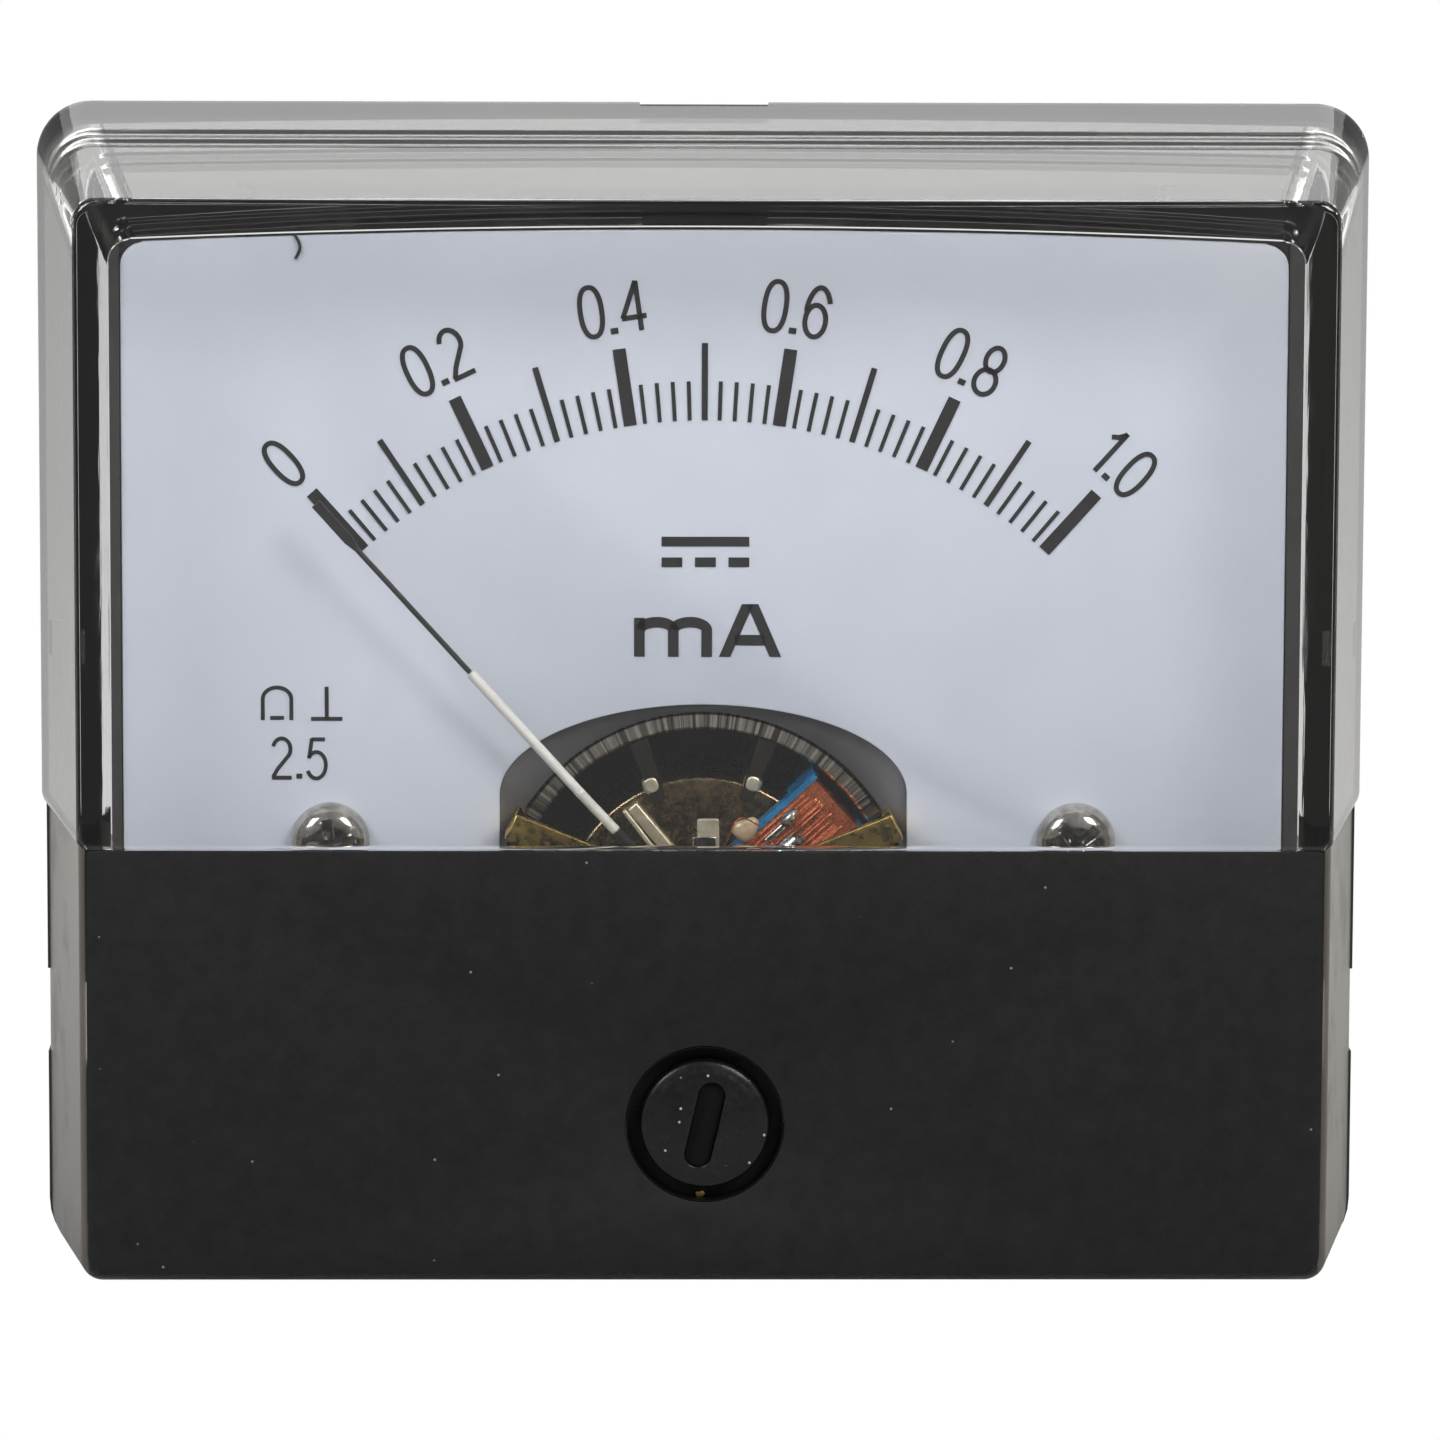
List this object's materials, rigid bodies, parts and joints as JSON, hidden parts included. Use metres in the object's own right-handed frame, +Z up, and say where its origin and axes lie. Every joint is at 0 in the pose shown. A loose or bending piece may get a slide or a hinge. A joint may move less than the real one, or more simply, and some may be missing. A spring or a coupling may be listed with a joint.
{
  "type": "analog panel meter",
  "caption": "Rectangular moving-coil panel meter with a clear tapered cover, black lower mask, arched scale, sprung pointer, screw zero adjuster and round rear barrel.",
  "frame": {"origin": "on the barrel's axis, at the flange's rear face that seats on the panel", "axes": "+X right, +Z up, +Y along the barrel into the panel; the dial faces -Y"},
  "size_m": [0.058, 0.0451, 0.0516],
  "materials": {
    "case_black": "moulded, satin",
    "cover_clear": "clear moulded plastic, polished",
    "mask_black": "fine matt texture",
    "dial_white": "matt bluish white",
    "mark_black": "matt ink",
    "nickel": "nickel plate",
    "stud_steel": "zinc plate",
    "terminal_brass": "nickel-free brass, turned",
    "washer_steel": "zinc plate",
    "tag_tinned": "tinned",
    "yoke_iron": "nickel-plated iron",
    "core_nickel": "plated magnet",
    "frame_cast": "die-cast",
    "bridge_brass": "rolled strip",
    "screw_brass": "turned",
    "ruby": "polished stone",
    "spring_bronze": "phosphor bronze strip",
    "lever_nickel": "nickel plate",
    "adjuster_black": "glossy",
    "clip_steel": "spring steel",
    "former_blue": "blue anodised foil",
    "copper_wire": "enamelled copper",
    "pivot_steel": "hardened, polished",
    "hub_aluminium": "stamped",
    "tube_white": "off-white lacquer",
    "needle_black": "matt black lacquer",
    "weight_tin": "tinned bronze"
  },
  "bodies": {
    "meter_body": {"base_housing": "case_black", "front_cover": "cover_clear", "face_mask": "mask_black", "dial_plate": "dial_white", "scale_marks": "mark_black", "dial_screws": "nickel", "mounting_studs": "stud_steel", "terminal_studs": "terminal_brass", "terminal_nuts": "terminal_brass", "terminal_washers": "washer_steel", "solder_tags": "tag_tinned", "yoke_ring": "yoke_iron", "core_magnet": "core_nickel", "movement_frame": "frame_cast", "movement_screws": "nickel", "front_bridge": "bridge_brass", "front_jewel_screw": "screw_brass", "front_lock_nut": "screw_brass", "front_jewel": "ruby", "rear_jewel_screw": "screw_brass", "rear_lock_nut": "screw_brass", "rear_jewel": "ruby", "rear_hairspring": "spring_bronze"},
    "zero_adjuster_body": {"zero_adjuster": "adjuster_black", "adjuster_clip": "clip_steel"},
    "zero_lever_body": {"zero_lever": "lever_nickel", "front_hairspring": "spring_bronze"},
    "pointer_body": {"coil_former": "former_blue", "coil_winding": "copper_wire", "front_pivot": "pivot_steel", "rear_pivot": "pivot_steel", "pointer_hub": "hub_aluminium", "pointer_tube": "tube_white", "pointer_needle": "needle_black", "balance_weights": "weight_tin"}
  },
  "joints": [
    {"name": "zero_adjuster_turn", "type": "hinge", "parent": "meter_body", "child": "zero_adjuster_body", "pos_m": [0, -0.0115, -0.0174], "axis": [0, 1, 0], "range_deg": [-40, 40]},
    {"name": "zero_lever_swing", "type": "hinge", "parent": "meter_body", "child": "zero_lever_body", "pos_m": [0, -0.0079, -0.0097], "axis": [0, 1, 0], "range_deg": [-4, 4]},
    {"name": "pointer_swing", "type": "hinge", "parent": "zero_lever_body", "child": "pointer_body", "pos_m": [0, 0, -0.0097], "axis": [0, 1, 0], "range_deg": [-3, 87], "stiffness_Nm_per_rad": 0.00002}
  ],
  "couplings": [
    {"joint": "zero_lever_swing", "follows": "zero_adjuster_turn", "ratio": 0.0995}
  ]
}
